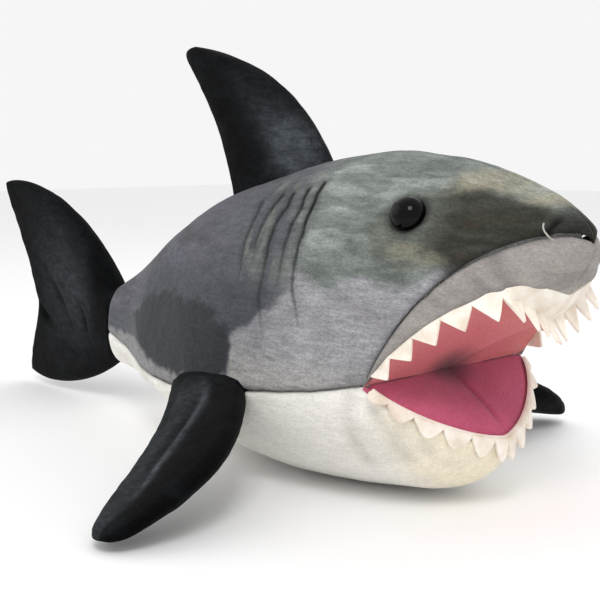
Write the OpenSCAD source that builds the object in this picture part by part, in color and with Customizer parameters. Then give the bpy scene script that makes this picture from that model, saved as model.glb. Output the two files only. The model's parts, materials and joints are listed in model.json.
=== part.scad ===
// Stuffed plush shark with an open lined mouth, felt teeth, safety eyes and soft sewn-on fins.
// Built in its own frame: +X to the nose, +Y to the shark's left, +Z up, resting on z = 0.
// Lengths are millimetres and angles are degrees.

/* [Body] */
// Mouth corners forward to the tip of the snout
snout_len = 90; // [72:1:110]
// Mouth corners back to the seam where the tail starts
trunk_len = 305; // [250:1:370]
// Widest part of the stuffed body
body_w = 150; // [120:1:185]
// Mouth corners up to the highest part of the back
crown_h = 118; // [95:1:145]
// Mouth corners down to the belly that the toy rests on
belly_h = 70; // [58:1:84]
// Width of the stem where the tail is sewn on
stem_w = 29; // [22:1:38]
// Height of the stem where the tail is sewn on
stem_h = 56; // [44:1:68]

/* [Mouth] */
// Width across the mouth corners
mouth_w = 138; // [112:1:166]
// Mouth corners forward to the upper lip
lip_len = 74; // [60:1:84]
// Mouth corners forward to the lower lip
jaw_len = 51; // [42:1:62]
// Rise of the palate above level at its middle
palate_angle = 28; // [20:1:34]
// Further rise of the lip towards its sides
lip_arch = 22; // [0:1:26]
// Fall of the mouth floor below level
floor_angle = 40; // [30:1:48]
// Longest upper tooth
upper_tooth_h = 14; // [8:1:20]
// Longest lower tooth
lower_tooth_h = 8; // [6:1:16]
// Teeth in the upper strip
upper_teeth_n = 19; // [11:2:27]
// Teeth in the lower strip
lower_teeth_n = 12; // [9:1:21]

/* [Fins] */
// Length of the dorsal fin's root along the back
dorsal_base = 90; // [70:1:110]
// Height of the dorsal fin
dorsal_h = 103; // [80:1:126]
// Back edge of the dorsal fin's root behind the mouth corners
dorsal_back = 176; // [160:1:200]
// Length of a pectoral fin's root
pectoral_base = 61; // [48:1:76]
// Span of a pectoral fin from its root
pectoral_span = 114; // [90:1:118]
// Back edge of a pectoral fin's root behind the mouth corners
pectoral_back = 144; // [128:1:165]
// Fall of a pectoral fin below level
pectoral_droop = 26; // [10:1:27]
// Length of the tail behind its seam
tail_len = 168; // [130:1:205]
// Rise of the tail's upper lobe above the mouth corners
tail_up = 95; // [70:1:115]
// Drop of the tail's lower lobe below the mouth corners
tail_down = 66; // [50:1:68]
// Thickness of the stuffed dorsal fin
dorsal_t = 22; // [14:1:30]
// Thickness of a stuffed pectoral fin
pectoral_t = 18; // [12:1:24]

/* [Eyes] */
// Diameter of the eye's dome
eye_d = 19; // [12:1:22]
// Diameter of the post behind the eye
eye_post_d = 5; // [4:0.5:7]
// Length of the post behind the plush
eye_post_h = 9; // [6:1:14]
// Diameter of the lock washer inside the head
washer_d = 18; // [12:1:22]
// Thickness of the lock washer
washer_t = 1.4; // [1:0.2:2.4]

/* [Fabric] */
// Plush with its pile
plush_t = 3; // [2:0.5:5]
// Mouth lining
lining_t = 1.6; // [1:0.2:3]
// Felt of the teeth
felt_t = 1.8; // [1:0.2:3]
// Gap that a seam leaves between two pieces
seam = 0.5; // [0.3:0.1:1]
// Gap round the eye's post
eye_clear = 0.1; // [0.05:0.05:0.3]
// Gap between a fin's root and the body
fin_gap = 2; // [1:0.5:4]

/* [Hidden] */

slate = "#55565c";
cheek_grey = "#8f8f92";
muzzle_grey = "#8f8a86";
cream = "#dedbcf";
palate_pink = "#cf6a70";
floor_pink = "#b84f70";
felt_cream = "#f3e9dc";
fin_black = "#1c1f22";
fibre_white = "#f4f4f0";

fine = 64;
// The frame: mouth corners stand over the rest face, and the toy is centred lengthways
mouth_x = (trunk_len + tail_len - snout_len) / 2;
stem_mid = -10;
snout_angle = 38;
notch_slope = 0.23;
back_power = 0.97;
belly_power = 1;
snout_power = 1.4;
lip_power = 1.38;
fill_gap = plush_t + seam;
edge_phi = 0.25;
corner_phi = 1.6;

// Sections of the trunk: share of its length, half width, top, bottom and side seam
trunk_keys = [
    [0, mouth_w / 2, 0.98 * crown_h, -0.97 * belly_h, 0],
    [0.12, 0.965 * body_w / 2, crown_h, -1.01 * belly_h, -8],
    [0.28, body_w / 2, 0.945 * crown_h, -1.02 * belly_h, -15],
    [0.43, 0.94 * body_w / 2, 0.85 * crown_h, -0.95 * belly_h, -22],
    [0.57, 0.80 * body_w / 2, 0.75 * crown_h, -0.80 * belly_h, -26],
    [0.74, 0.56 * body_w / 2, 0.54 * crown_h, -0.65 * belly_h, -26],
    [0.87, 0.16 * body_w, 0.335 * crown_h, -0.60 * belly_h, -21],
    [1, stem_w / 2, stem_mid + stem_h / 2, stem_mid - stem_h / 2, -13]];

// Reach of the head from the line through the mouth corners, by angle above level
snout_reach = snout_len / cos(snout_angle);
head_keys = [[palate_angle, lip_len], [palate_angle + 5, 0.55 * lip_len + 0.45 * snout_reach],
    [snout_angle + 1, snout_reach], [52, 0.962 * crown_h], [65, 0.962 * crown_h],
    [79, 0.963 * crown_h], [90, 0.98 * crown_h]];
// Reach of the lower jaw, by angle below level
jaw_keys = [[floor_angle, jaw_len], [60, 1.16 * jaw_len], [80, 0.92 * belly_h], [100, 0.96 * belly_h]];
jaw_end_angle = 100;
jaw_root = 8;
jaw_inset = 1.6;

// ---- Curves through key sections ----

function key_at(keys, x, i = 0) = i >= len(keys) - 2 || x <= keys[i + 1][0] ? i : key_at(keys, x, i + 1);

function key_slope(keys, i, k) =
    let (a = max(i - 1, 0), b = min(i + 1, len(keys) - 1))
    (keys[b][k] - keys[a][k]) / (keys[b][0] - keys[a][0]);

// Column k of the keys at x, on a smooth curve
function along(keys, x, k = 1) =
    let (i = key_at(keys, x), w = keys[i + 1][0] - keys[i][0], s = (x - keys[i][0]) / w,
        m0 = key_slope(keys, i, k) * w, m1 = key_slope(keys, i + 1, k) * w)
    (2 * s ^ 3 - 3 * s ^ 2 + 1) * keys[i][k] + (s ^ 3 - 2 * s ^ 2 + s) * m0
        + (3 * s ^ 2 - 2 * s ^ 3) * keys[i + 1][k] + (s ^ 3 - s ^ 2) * m1;

function mix(a, b, s) = a + (b - a) * s;
function spow(v, power) = sign(v) * abs(v) ^ power;
function bezier(a, b, c, s) = (1 - s) ^ 2 * a + 2 * s * (1 - s) * b + s ^ 2 * c;

// ---- Points of the body ----

// Trunk point x behind the mouth corners, at phi round the section: 0 on the left side seam,
// 90 on the back, -90 under the belly. lean tips the lower front forwards to the jaw.
function trunk_point(back, phi, inset, lean = 0) =
    let (u = back / trunk_len,
        half_w = along(trunk_keys, u, 1) - inset,
        mid = along(trunk_keys, u, 4),
        top = along(trunk_keys, u, 2) - mid - inset,
        low = mid - along(trunk_keys, u, 3) - inset,
        power = phi < 0 ? belly_power : back_power,
        fall = (phi < 0 ? low : top) * spow(sin(phi), power))
    [-back + lean * min(fall, 0), half_w * spow(cos(phi), power), max(mid + fall, inset - belly_h)];

// Head point at an angle above level about the mouth line, phi from 0 at the left corner to 90.
// The head is pointed at the lip and round above the eyes.
function head_point(angle, phi, inset) =
    let (power = mix(snout_power, back_power, min(1, max(0, (angle - palate_angle) / 50))),
        r = (along(head_keys, angle) - inset) * spow(sin(phi), power))
    [r * cos(angle), (mouth_w / 2 - inset) * spow(cos(phi), power), r * sin(angle)];

// Jaw point at an angle below level about the mouth line: narrow at the lip, round at the throat
function jaw_point(angle, phi, inset) =
    let (power = mix(lip_power, belly_power, (angle - floor_angle) / (jaw_end_angle - floor_angle)),
        r = (along(jaw_keys, angle) - inset) * spow(sin(phi), power))
    [r * cos(angle), (mouth_w / 2 - jaw_inset - inset) * spow(cos(phi), power), -r * sin(angle)];

// Unit normal of the head's outside
function head_normal(angle, phi) =
    let (p = head_point(angle, phi, 0), a = head_point(angle + 1, phi, 0) - p,
        b = head_point(angle, phi + 1, 0) - p, n = cross(a, b))
    n / norm(n) * (n[1] < 0 ? -1 : 1);

// ---- Solids from grids of points ----

// Slab between two grids of the same size; outer's rows and columns turn clockwise from outside
module slab(outer, inner) {
    rows = len(outer);
    cols = len(outer[0]);
    n = rows * cols;
    points = [for (g = [outer, inner]) for (r = g) for (p = r) p];
    faces = concat(
        [for (i = [0 : rows - 2], j = [0 : cols - 2])
            let (a = i * cols + j, b = a + 1, c = b + cols, d = a + cols)
            each [[a, b, c], [a, c, d], [n + a, n + c, n + b], [n + a, n + d, n + c]]],
        [for (j = [0 : cols - 2]) let (a = j, c = n - cols + j)
            each [[a, n + a + 1, a + 1], [a, n + a, n + a + 1],
                [c + 1, n + c, c], [c + 1, n + c + 1, n + c]]],
        [for (i = [0 : rows - 2]) let (a = i * cols, b = a + cols, c = a + cols - 1, d = c + cols)
            each [[b, n + a, a], [b, n + b, n + a], [c, n + d, d], [c, n + c, n + d]]]);
    polyhedron(points, faces, convexity = 6);
}

// Solid through a row of closed rings, seen clockwise along the way it goes
module loft(rings) {
    m = len(rings[0]);
    k = len(rings);
    points = [for (r = rings) each r];
    faces = concat(
        [[for (j = [m - 1 : -1 : 0]) j], [for (j = [0 : m - 1]) (k - 1) * m + j]],
        [for (i = [0 : k - 2], j = [0 : m - 1])
            let (a = i * m + j, b = i * m + (j + 1) % m)
            each [[a, b, b + m], [a, b + m, a + m]]]);
    polyhedron(points, faces, convexity = 6);
}

// Solid between a grid of points and one point inside it that sees all of the grid
module fan_solid(grid, hub) {
    rows = len(grid);
    cols = len(grid[0]);
    n = rows * cols;
    rim = concat([for (j = [0 : cols - 1]) j], [for (i = [1 : rows - 1]) (i + 1) * cols - 1],
        [for (j = [cols - 2 : -1 : 0]) n - cols + j], [for (i = [rows - 2 : -1 : 1]) i * cols]);
    faces = concat(
        [for (i = [0 : rows - 2], j = [0 : cols - 2]) let (a = i * cols + j)
            each [[a, a + 1, a + cols + 1], [a, a + cols + 1, a + cols]]],
        [for (k = [0 : len(rim) - 1]) [rim[(k + 1) % len(rim)], rim[k], n]]);
    polyhedron(concat([for (r = grid) each r], [hub]), faces, convexity = 6);
}

module mouth_frame() {
    translate([mouth_x, 0, belly_h]) children();
}

module other_side() {
    mirror([0, 1, 0]) children();
}

// ---- Body panels ----

muzzle_rows = 7;
head_rows = 9;
trunk_rows = 20;
half_cols = 12;

// Angle of the upper lip's edge, which arches up at the sides
function lip_angle(phi) = palate_angle + lip_arch * abs(cos(phi)) ^ 1.8;

// Angle of the seam between muzzle and forehead: high at the cheek, low at the tip of the snout
function muzzle_seam(phi) = palate_angle + 12 + 23 * abs(cos(phi)) ^ 1.2;

function half_phi(j, low) = mix(low, 90 - edge_phi, j / half_cols);

// Keeps a point of a left panel clear of the middle seam
function off_middle(p) = [p[0], max(p[1], seam / 2), p[2]];

function back_row(i, inset) =
    i <= head_rows
    ? [for (j = [0 : half_cols]) let (phi = half_phi(j, corner_phi))
        off_middle(head_point(mix(muzzle_seam(phi) + seam, 90, i / head_rows), phi, inset))]
    : let (s = (i - head_rows) / trunk_rows)
        [for (j = [0 : half_cols])
            trunk_point(s * trunk_len, half_phi(j, mix(corner_phi, edge_phi, min(1, 3 * s))), inset)];

module back_panel() {
    rows = [0 : head_rows + trunk_rows];
    difference() {
        slab([for (i = rows) back_row(i, 0)], [for (i = rows) back_row(i, plush_t)]);
        at_eye() translate([0, 0, -3 * plush_t])
            cylinder(d = eye_post_d + 2 * eye_clear, h = 6 * plush_t, $fn = fine);
    }
}

module back_panel_left() {
    color(slate) mouth_frame() back_panel();
}

module back_panel_right() {
    color(slate) mouth_frame() other_side() back_panel();
}

function muzzle_row(i, inset) =
    [for (j = [0 : half_cols]) let (phi = half_phi(j, corner_phi))
        off_middle(head_point(mix(lip_angle(phi), muzzle_seam(phi), i / muzzle_rows), phi, inset))];

module muzzle_panel() {
    rows = [0 : muzzle_rows];
    slab([for (i = rows) muzzle_row(i, 0)], [for (i = rows) muzzle_row(i, plush_t)]);
}

module muzzle_panel_left() {
    color(muzzle_grey) mouth_frame() muzzle_panel();
}

module muzzle_panel_right() {
    color(muzzle_grey) mouth_frame() other_side() muzzle_panel();
}

// Forward lean of the trunk's lower front, which fades out behind the jaw
function lean_at(back) = notch_slope * max(0, 1 - back / (0.25 * trunk_len));

function belly_row(i, inset) = let (back = i / trunk_rows * trunk_len)
    [for (j = [0 : 2 * half_cols])
        let (low = mix(corner_phi, edge_phi, min(1, 3 * i / trunk_rows)),
            phi = -mix(low, 180 - low, j / (2 * half_cols)))
        trunk_point(back, phi, inset, lean_at(back))];

module belly_panel() {
    rows = [0 : trunk_rows];
    color(cream) mouth_frame()
        slab([for (i = rows) belly_row(trunk_rows - i, 0)], [for (i = rows) belly_row(trunk_rows - i, plush_t)]);
}

// ---- Stuffing of body and head ----

ring_n = 40;
stuffing_rings = 16;

function trunk_ring(back) =
    [for (j = [0 : ring_n - 1]) trunk_point(back, mix(-180, 180, (j + 0.5) / ring_n), fill_gap, lean_at(back))];

// Stuffing of the head, lifted off the palate lining
function head_fill_row(s) = let (lift = lining_t + seam)
    [for (j = [0 : ring_n / 2]) let (phi = mix(3, 177, j / (ring_n / 2)))
        head_point(mix(lip_angle(phi), 95, s), phi, fill_gap + lift) + [-lift / 2, 0, lift]];

module body_stuffing() {
    color(fibre_white) mouth_frame() difference() {
        union() {
            loft([for (i = [0 : stuffing_rings]) trunk_ring(mix(4, trunk_len - plush_t, i / stuffing_rings))]);
            fan_solid([for (i = [0 : 8]) head_fill_row(i / 8)], [-lining_t, 0, lining_t + seam]);
        }
        at_eye() eye_pocket();
        other_side() at_eye() eye_pocket();
    }
}

// ---- Mouth of the head ----

palate_cols = 40;
palate_rows = 6;

// The palate runs straight from the middle of the throat to each point of the lip's edge
function palate_row(i, rise) = [for (j = [0 : palate_cols])
    head_point(lip_angle(mix(4, 176, j / palate_cols)), mix(4, 176, j / palate_cols), fill_gap)
        * mix(0.06, 1, i / palate_rows) + [0, 0, rise]];

module palate_lining() {
    rows = [0 : palate_rows];
    color(palate_pink) mouth_frame()
        slab([for (i = rows) palate_row(i, 0)], [for (i = rows) palate_row(i, lining_t)]);
}

// Length of the cut at step j of a zigzag strip, longest at the middle of the mouth
function tooth_cut(j, phi, length) = j % 2 == 0 ? 0 : length * (0.45 + 0.55 * sin(phi));

function upper_spot(phi, inset, height) = let (angle = lip_angle(phi))
    head_point(angle, phi, inset) + height * [-sin(angle), 0, cos(angle)];

function upper_teeth_grid(inset) = [for (i = [0 : 1])
    [for (j = [0 : 2 * upper_teeth_n]) let (phi = mix(6, 174, j / (2 * upper_teeth_n)))
        upper_spot(phi, inset, -seam - i * (1.5 + tooth_cut(j, phi, upper_tooth_h - 1.5)))]];

module upper_teeth() {
    color(felt_cream) mouth_frame()
        slab(upper_teeth_grid(0.6 + felt_t), upper_teeth_grid(0.6));
}

// ---- Lower jaw ----

jaw_rows = 10;
jaw_cols = 26;
jaw_low_phi = asin((jaw_root / jaw_len) ^ (1 / lip_power));

function jaw_row(i, inset) = [for (j = [0 : jaw_cols])
    jaw_point(mix(floor_angle, jaw_end_angle, i / jaw_rows), mix(jaw_low_phi, 180 - jaw_low_phi, j / jaw_cols), inset)];

module chin_panel() {
    rows = [0 : jaw_rows];
    color(cream) mouth_frame()
        slab([for (i = rows) jaw_row(jaw_rows - i, 0)], [for (i = rows) jaw_row(jaw_rows - i, plush_t)]);
}

module mouth_floor_lining() {
    reach = jaw_len - fill_gap;
    half_w = mouth_w / 2 - jaw_inset - fill_gap;
    outline = [for (j = [0 : 40]) let (phi = mix(4, 176, j / 40))
        [reach * spow(sin(phi), lip_power), half_w * spow(cos(phi), lip_power)]];
    color(floor_pink) mouth_frame() rotate([0, floor_angle, 0]) translate([0, 0, -lining_t])
        linear_extrude(lining_t) intersection() {
            polygon(outline);
            translate([jaw_root, -mouth_w / 2]) square([jaw_len, mouth_w]);
        }
}

function jaw_fill_row(s) = let (drop = lining_t + seam)
    [for (j = [0 : ring_n / 2])
        let (phi = mix(jaw_low_phi + 3, 177 - jaw_low_phi, j / (ring_n / 2)))
        jaw_point(mix(floor_angle, jaw_end_angle - 3, s), phi, fill_gap + drop) - [drop / 2, 0, drop]];

module jaw_stuffing() {
    hub_r = jaw_root + 6;
    hub_angle = (floor_angle + jaw_end_angle) / 2;
    color(fibre_white) mouth_frame()
        fan_solid([for (i = [8 : -1 : 0]) jaw_fill_row(i / 8)],
            [hub_r * cos(hub_angle), 0, -hub_r * sin(hub_angle)]);
}

// The strip starts on the lip's edge and its teeth curl out over the chin
tooth_curl = 2;

function lower_teeth_row(i, thick) = [for (j = [0 : 2 * lower_teeth_n])
    let (phi = mix(9, 171, j / (2 * lower_teeth_n)),
        drop = (1 + tooth_cut(j, phi, lower_tooth_h - 1)) / jaw_len * 180 / PI,
        s = max(0, (i - 1) / 2))
    i < 2
    ? jaw_point(floor_angle, phi, i == 0 ? plush_t : -seam - thick)
        + (seam + thick) * [sin(floor_angle), 0, cos(floor_angle)]
    : jaw_point(floor_angle + s * drop, phi, -seam - thick - s * tooth_curl)];

module lower_teeth() {
    color(felt_cream) mouth_frame()
        slab([for (i = [0 : 3]) lower_teeth_row(i, 0)], [for (i = [0 : 3]) lower_teeth_row(i, felt_t)]);
}

// ---- Eyes ----

eye_angle = 84;
eye_phi = 49;

// Stands its children on the left side of the head, with Z out of the face
module at_eye() {
    n = head_normal(eye_angle, eye_phi);
    p = head_point(eye_angle, eye_phi, 0);
    translate(p) rotate([0, acos(n[2]), atan2(n[1], n[0])]) children();
}

// Room that the washer and the post take in the stuffing
module eye_pocket() {
    translate([0, 0, -plush_t - eye_post_h - seam])
        cylinder(d = washer_d + 2 * seam, h = eye_post_h + 3 * plush_t, $fn = fine);
}

module eye() {
    dome_h = 0.42 * eye_d;
    dome_r = (eye_d ^ 2 / 4 + dome_h ^ 2) / (2 * dome_h);
    rotate_extrude($fn = fine) {
        translate([0, seam]) intersection() {
            translate([0, dome_h - dome_r]) circle(dome_r);
            square([eye_d, dome_h + 1]);
        }
        translate([0, -plush_t - eye_post_h]) square([eye_post_d / 2, plush_t + eye_post_h + 2 * seam]);
    }
}

module eye_washer() {
    translate([0, 0, -plush_t - seam - washer_t]) difference() {
        cylinder(d = washer_d, h = washer_t, $fn = fine);
        translate([0, 0, -1]) cylinder(d = eye_post_d + 2 * eye_clear, h = washer_t + 2, $fn = fine);
    }
}

module eye_left() {
    color("black") mouth_frame() at_eye() eye();
}

module eye_right() {
    color("black") mouth_frame() other_side() at_eye() eye();
}

module eye_washer_left() {
    color("white") mouth_frame() at_eye() eye_washer();
}

module eye_washer_right() {
    color("white") mouth_frame() other_side() at_eye() eye_washer();
}

// ---- Fins ----

// A fin is a grid of [along, out, half thickness] points, root row first.
// A skin is the grid's slab on one face, and the stuffing fills the pillow between two skins.
function lift(p, y) = [p[0], y, p[1]];

module fin_skin(grid, skin_t) {
    slab([for (r = grid) [for (p = r) lift(p, seam / 2 + skin_t + p[2])]],
        [for (r = grid) [for (p = r) lift(p, seam / 2 + p[2])]]);
}

module fin_stuffing(grid) {
    rows = [1 : len(grid) - 2];
    cols = [1 : len(grid[0]) - 2];
    slab([for (i = rows) [for (j = cols) let (p = grid[i][j]) lift(p, max(0.3, p[2] - seam / 2))]],
        [for (i = rows) [for (j = cols) let (p = grid[i][j]) lift(p, -max(0.3, p[2] - seam / 2))]]);
}

fin_rows = 11;
fin_cols = 10;
fin_skin_t = 2.4;

function pillow(u, power) = max(0, 1 - abs(2 * u - 1) ^ power) ^ 0.6;

// Dorsal fin: along runs forward from the back of the root, out runs up
dorsal_lead = [[dorsal_base, 0], [0.8 * dorsal_base, 0.64 * dorsal_h], [-0.11 * dorsal_base, 0.98 * dorsal_h]];
dorsal_trail = [[0, 0], [0.04 * dorsal_base, 0.47 * dorsal_h], [-0.32 * dorsal_base, 0.97 * dorsal_h]];

function fin_point(lead, trail, bow, u, v) =
    let (a = bezier(lead[0], lead[1], lead[2], v), b = bezier(trail[0], trail[1], trail[2], v))
    mix(b, a, u) + [0, bow * v ^ 4 * (1 - (2 * u - 1) ^ 2)];

// Half thickness that keeps a fin's root round about its hinge line
function root_round(out, root_r) =
    out < root_r ? max(0, sqrt(root_r ^ 2 - (root_r - out) ^ 2) - fin_skin_t - seam / 2) : 1000;

function fin_grid(lead, trail, bow, full_t, root_r) =
    [for (i = [0 : fin_rows]) let (v = (i / fin_rows) ^ 1.4) [for (j = [0 : fin_cols])
        let (u = j / fin_cols, p = fin_point(lead, trail, bow, u, v),
            h = (full_t / 2 - fin_skin_t) * pillow(u, 2.4) * max(0, 1 - v ^ 3) ^ 0.7)
        [p[0], p[1], min(h, root_round(p[1], root_r))]]];

dorsal_slope = 13.4;
dorsal_root_r = 0.4 * dorsal_t;

// Stands the fin's root just above the back, sloping with it
module at_dorsal() {
    translate([-dorsal_back, 0, along(trunk_keys, dorsal_back / trunk_len, 2) + fin_gap + 1.7])
        rotate([0, -dorsal_slope, 0]) children();
}

function dorsal_points() = fin_grid(dorsal_lead, dorsal_trail, 0.03 * dorsal_h, dorsal_t, dorsal_root_r);

module dorsal_skin_left() {
    color(fin_black) mouth_frame() at_dorsal() fin_skin(dorsal_points(), fin_skin_t);
}

module dorsal_skin_right() {
    color(fin_black) mouth_frame() at_dorsal() other_side() fin_skin(dorsal_points(), fin_skin_t);
}

module dorsal_stuffing() {
    color(fibre_white) mouth_frame() at_dorsal() fin_stuffing(dorsal_points());
}

// Pectoral fin: along runs forward from the back of the root, out runs sideways and down
pectoral_lead = [[pectoral_base, 0], [2.15 * pectoral_base, 0.48 * pectoral_span],
    [1.66 * pectoral_base, 0.98 * pectoral_span]];
pectoral_trail = [[0, 0], [0.9 * pectoral_base, 0.4 * pectoral_span],
    [1.18 * pectoral_base, 0.97 * pectoral_span]];
pectoral_yaw = 5;
pectoral_pitch = 8;

pectoral_root_r = 0.4 * pectoral_t;

function pectoral_points() =
    fin_grid(pectoral_lead, pectoral_trail, 0.06 * pectoral_span, pectoral_t, pectoral_root_r);

// Stands a left fin's root beside the body, at the side seam
module at_pectoral() {
    u = pectoral_back / trunk_len;
    translate([-pectoral_back, along(trunk_keys, u, 1) + fin_gap + 2, along(trunk_keys, u, 4) - 1])
        rotate([0, 0, pectoral_yaw]) rotate([0, -pectoral_pitch, 0])
            rotate([-90 - pectoral_droop, 0, 0]) children();
}

module pectoral_skin(top) {
    color(fin_black) mouth_frame() at_pectoral()
        mirror([0, top ? 1 : 0, 0]) fin_skin(pectoral_points(), fin_skin_t);
}

module pectoral_fill() {
    color(fibre_white) mouth_frame() at_pectoral() fin_stuffing(pectoral_points());
}

module pectoral_left_top_skin() { pectoral_skin(true); }
module pectoral_left_under_skin() { pectoral_skin(false); }
module pectoral_left_stuffing() { pectoral_fill(); }
module pectoral_right_top_skin() { other_side() pectoral_skin(true); }
module pectoral_right_under_skin() { other_side() pectoral_skin(false); }
module pectoral_right_stuffing() { other_side() pectoral_fill(); }

// Tail fin: rows run back from the stem, columns run up from the lower edge
tail_rows = 12;
tail_cols = 18;
stem_gap = 1.5;
tail_axis = trunk_len + stem_gap + stem_w / 2;
fork = 0.66;

function tail_end(u) =
    let (deep = u > 0.36 ? ((u - 0.36) / 0.64) ^ 1.5 : 0.42 * ((0.36 - u) / 0.36) ^ 1.3)
    [-trunk_len - tail_len * mix(fork, 1, deep), mix(-tail_down, tail_up, u)];

// Half thickness: a round nose at the stem, a pillow behind it and a thin back edge
function tail_half(back, u, v) =
    let (nose = stem_w / 2 - 0.5,
        nose_t = back < tail_axis ? sqrt(max(0, nose ^ 2 - (tail_axis - back) ^ 2)) : nose)
    max(0, (nose_t - fin_skin_t) * mix(1, 0.35, v) * max(0, 1 - v ^ 3) ^ 0.6 * pillow(u, 2.6));

function tail_grid() =
    [for (i = [0 : tail_rows]) let (v = (i / tail_rows) ^ 1.25) [for (j = [0 : tail_cols])
        let (u = j / tail_cols,
            root = [-trunk_len - stem_gap - 0.5 - 6 * (2 * u - 1) ^ 2, mix(stem_mid - stem_h / 2, stem_mid + stem_h / 2, u)],
            bend = [-trunk_len - 0.31 * tail_len, mix(-1.05 * tail_down, tail_up, u)],
            p = bezier(root, bend, tail_end(u), v))
        concat(p, tail_half(-p[0], u, v))]];

module tail_skin_left() {
    color(fin_black) mouth_frame() fin_skin(tail_grid(), fin_skin_t);
}

module tail_skin_right() {
    color(fin_black) mouth_frame() other_side() fin_skin(tail_grid(), fin_skin_t);
}

module tail_stuffing() {
    color(fibre_white) mouth_frame() fin_stuffing(tail_grid());
}

body_stuffing();
back_panel_right();
back_panel_left();
belly_panel();
muzzle_panel_right();
muzzle_panel_left();
palate_lining();
upper_teeth();
eye_right();
eye_left();
eye_washer_right();
eye_washer_left();
chin_panel();
mouth_floor_lining();
lower_teeth();
jaw_stuffing();
dorsal_skin_right();
dorsal_skin_left();
dorsal_stuffing();
pectoral_right_top_skin();
pectoral_right_under_skin();
pectoral_right_stuffing();
pectoral_left_top_skin();
pectoral_left_under_skin();
pectoral_left_stuffing();
tail_skin_right();
tail_skin_left();
tail_stuffing();
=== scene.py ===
import json
import bmesh
import bpy
import numpy as np
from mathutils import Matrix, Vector


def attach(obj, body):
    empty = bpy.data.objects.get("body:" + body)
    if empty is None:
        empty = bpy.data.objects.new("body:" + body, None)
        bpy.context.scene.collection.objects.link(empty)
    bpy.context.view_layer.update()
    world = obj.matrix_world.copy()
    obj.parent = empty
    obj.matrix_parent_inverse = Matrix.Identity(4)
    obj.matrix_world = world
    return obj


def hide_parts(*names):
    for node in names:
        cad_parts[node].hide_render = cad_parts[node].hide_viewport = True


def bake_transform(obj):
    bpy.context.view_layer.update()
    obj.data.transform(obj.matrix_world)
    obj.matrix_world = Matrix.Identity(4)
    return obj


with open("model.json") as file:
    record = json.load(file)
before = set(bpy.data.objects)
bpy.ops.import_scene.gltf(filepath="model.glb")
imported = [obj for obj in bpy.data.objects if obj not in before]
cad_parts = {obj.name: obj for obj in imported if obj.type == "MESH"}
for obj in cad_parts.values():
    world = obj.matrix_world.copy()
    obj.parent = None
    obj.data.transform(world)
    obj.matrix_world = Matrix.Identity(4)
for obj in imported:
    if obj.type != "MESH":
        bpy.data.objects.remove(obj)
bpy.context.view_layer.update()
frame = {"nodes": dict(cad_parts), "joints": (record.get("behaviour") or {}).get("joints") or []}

# ---- Camera ----
# It stands off the toy's right front corner, a little above its eye, and sees the whole shark.


def put(name, data):
    """A new object that stands at the origin and holds this data."""
    thing = bpy.data.objects.new(name, data)
    bpy.context.scene.collection.objects.link(thing)
    return thing


def aim(thing, place, target):
    """Puts a camera or a lamp at a place and turns it towards its target."""
    thing.location = place
    thing.rotation_euler = (Vector(target) - thing.location).to_track_quat("-Z", "Y").to_euler()


camera = put("Camera", bpy.data.cameras.new("Camera"))
camera.data.lens = 68.16
camera.data.sensor_width = 36
camera.data.clip_start = 0.01
aim(camera, (0.5741, -0.4820, 0.1894), (0.0750, 0, 0.0966))
bpy.context.scene.camera = camera

# ---- Back panels ----
# Two mirrored panels of short-pile fleece, printed in greys, are sewn together along the
# back and stuffed. Each runs from the muzzle seam over the head to the tail.
bpy.ops.object.select_all(action="DESELECT")
hinge = next(j for j in frame["joints"] if j["name"] == "jaw_hinge")
mouth = np.array(hinge["pos_m"], float) * 1000
# Sizes in mm and angles in degrees, from the line through the corners of the mouth
trunk_len, panel_t = 305, 2.0
crown, belly, half_body, half_mouth = 118, 70, 75, 69
roof_angle, roof_reach = 28, 74
snout_angle, snout_len = 38, 90
eye_angle, eye_phi = np.array(84.0), np.array(49.0)
# Where panels end: at the side seam, at the top seam and at the muzzle seam
side_edge, top_edge, seam_gap = 0.1, 89.95, 0.25

# Sections of the trunk: share of its length, half width, top, bottom and side seam
trunk_keys = np.array([
    [0, half_mouth, 0.98 * crown, -0.97 * belly, 0],
    [0.12, 0.965 * half_body, crown, -1.01 * belly, -8],
    [0.28, half_body, 0.945 * crown, -1.02 * belly, -15],
    [0.43, 0.94 * half_body, 0.85 * crown, -0.95 * belly, -22],
    [0.57, 0.80 * half_body, 0.75 * crown, -0.80 * belly, -26],
    [0.74, 0.56 * half_body, 0.54 * crown, -0.65 * belly, -26],
    [0.87, 0.32 * half_body, 0.335 * crown, -0.60 * belly, -21],
    [1, 14.5, 18, -38, -13]])
# Reach of the head from the line through the mouth corners, by angle
snout_reach = snout_len / np.cos(np.radians(snout_angle))
head_keys = np.array([[roof_angle, roof_reach], [33, 0.55 * roof_reach + 0.45 * snout_reach],
    [39, snout_reach], [52, 0.962 * crown], [65, 0.962 * crown], [79, 0.963 * crown], [90, 0.98 * crown]])


def along(keys, x, k=1):
    """Column k of the keys at x, on a smooth curve."""
    x = np.asarray(x, float)
    i = np.clip(np.searchsorted(keys[:, 0], x) - 1, 0, len(keys) - 2)
    n = np.arange(len(keys))
    a, b = np.maximum(n - 1, 0), np.minimum(n + 1, len(keys) - 1)
    slope = (keys[b, k] - keys[a, k]) / (keys[b, 0] - keys[a, 0])
    w = keys[i + 1, 0] - keys[i, 0]
    s = (x - keys[i, 0]) / w
    return ((2 * s**3 - 3 * s**2 + 1) * keys[i, k] + (s**3 - 2 * s**2 + s) * slope[i] * w
        + (3 * s**2 - 2 * s**3) * keys[i + 1, k] + (s**3 - s**2) * slope[i + 1] * w)


def mix(a, b, s):
    return a + (b - a) * s


def step(a, b, x):
    s = np.clip((x - a) / (b - a), 0, 1)
    return s * s * (3 - 2 * s)


def spow(v, power):
    return np.sign(v) * np.abs(v) ** power


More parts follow.
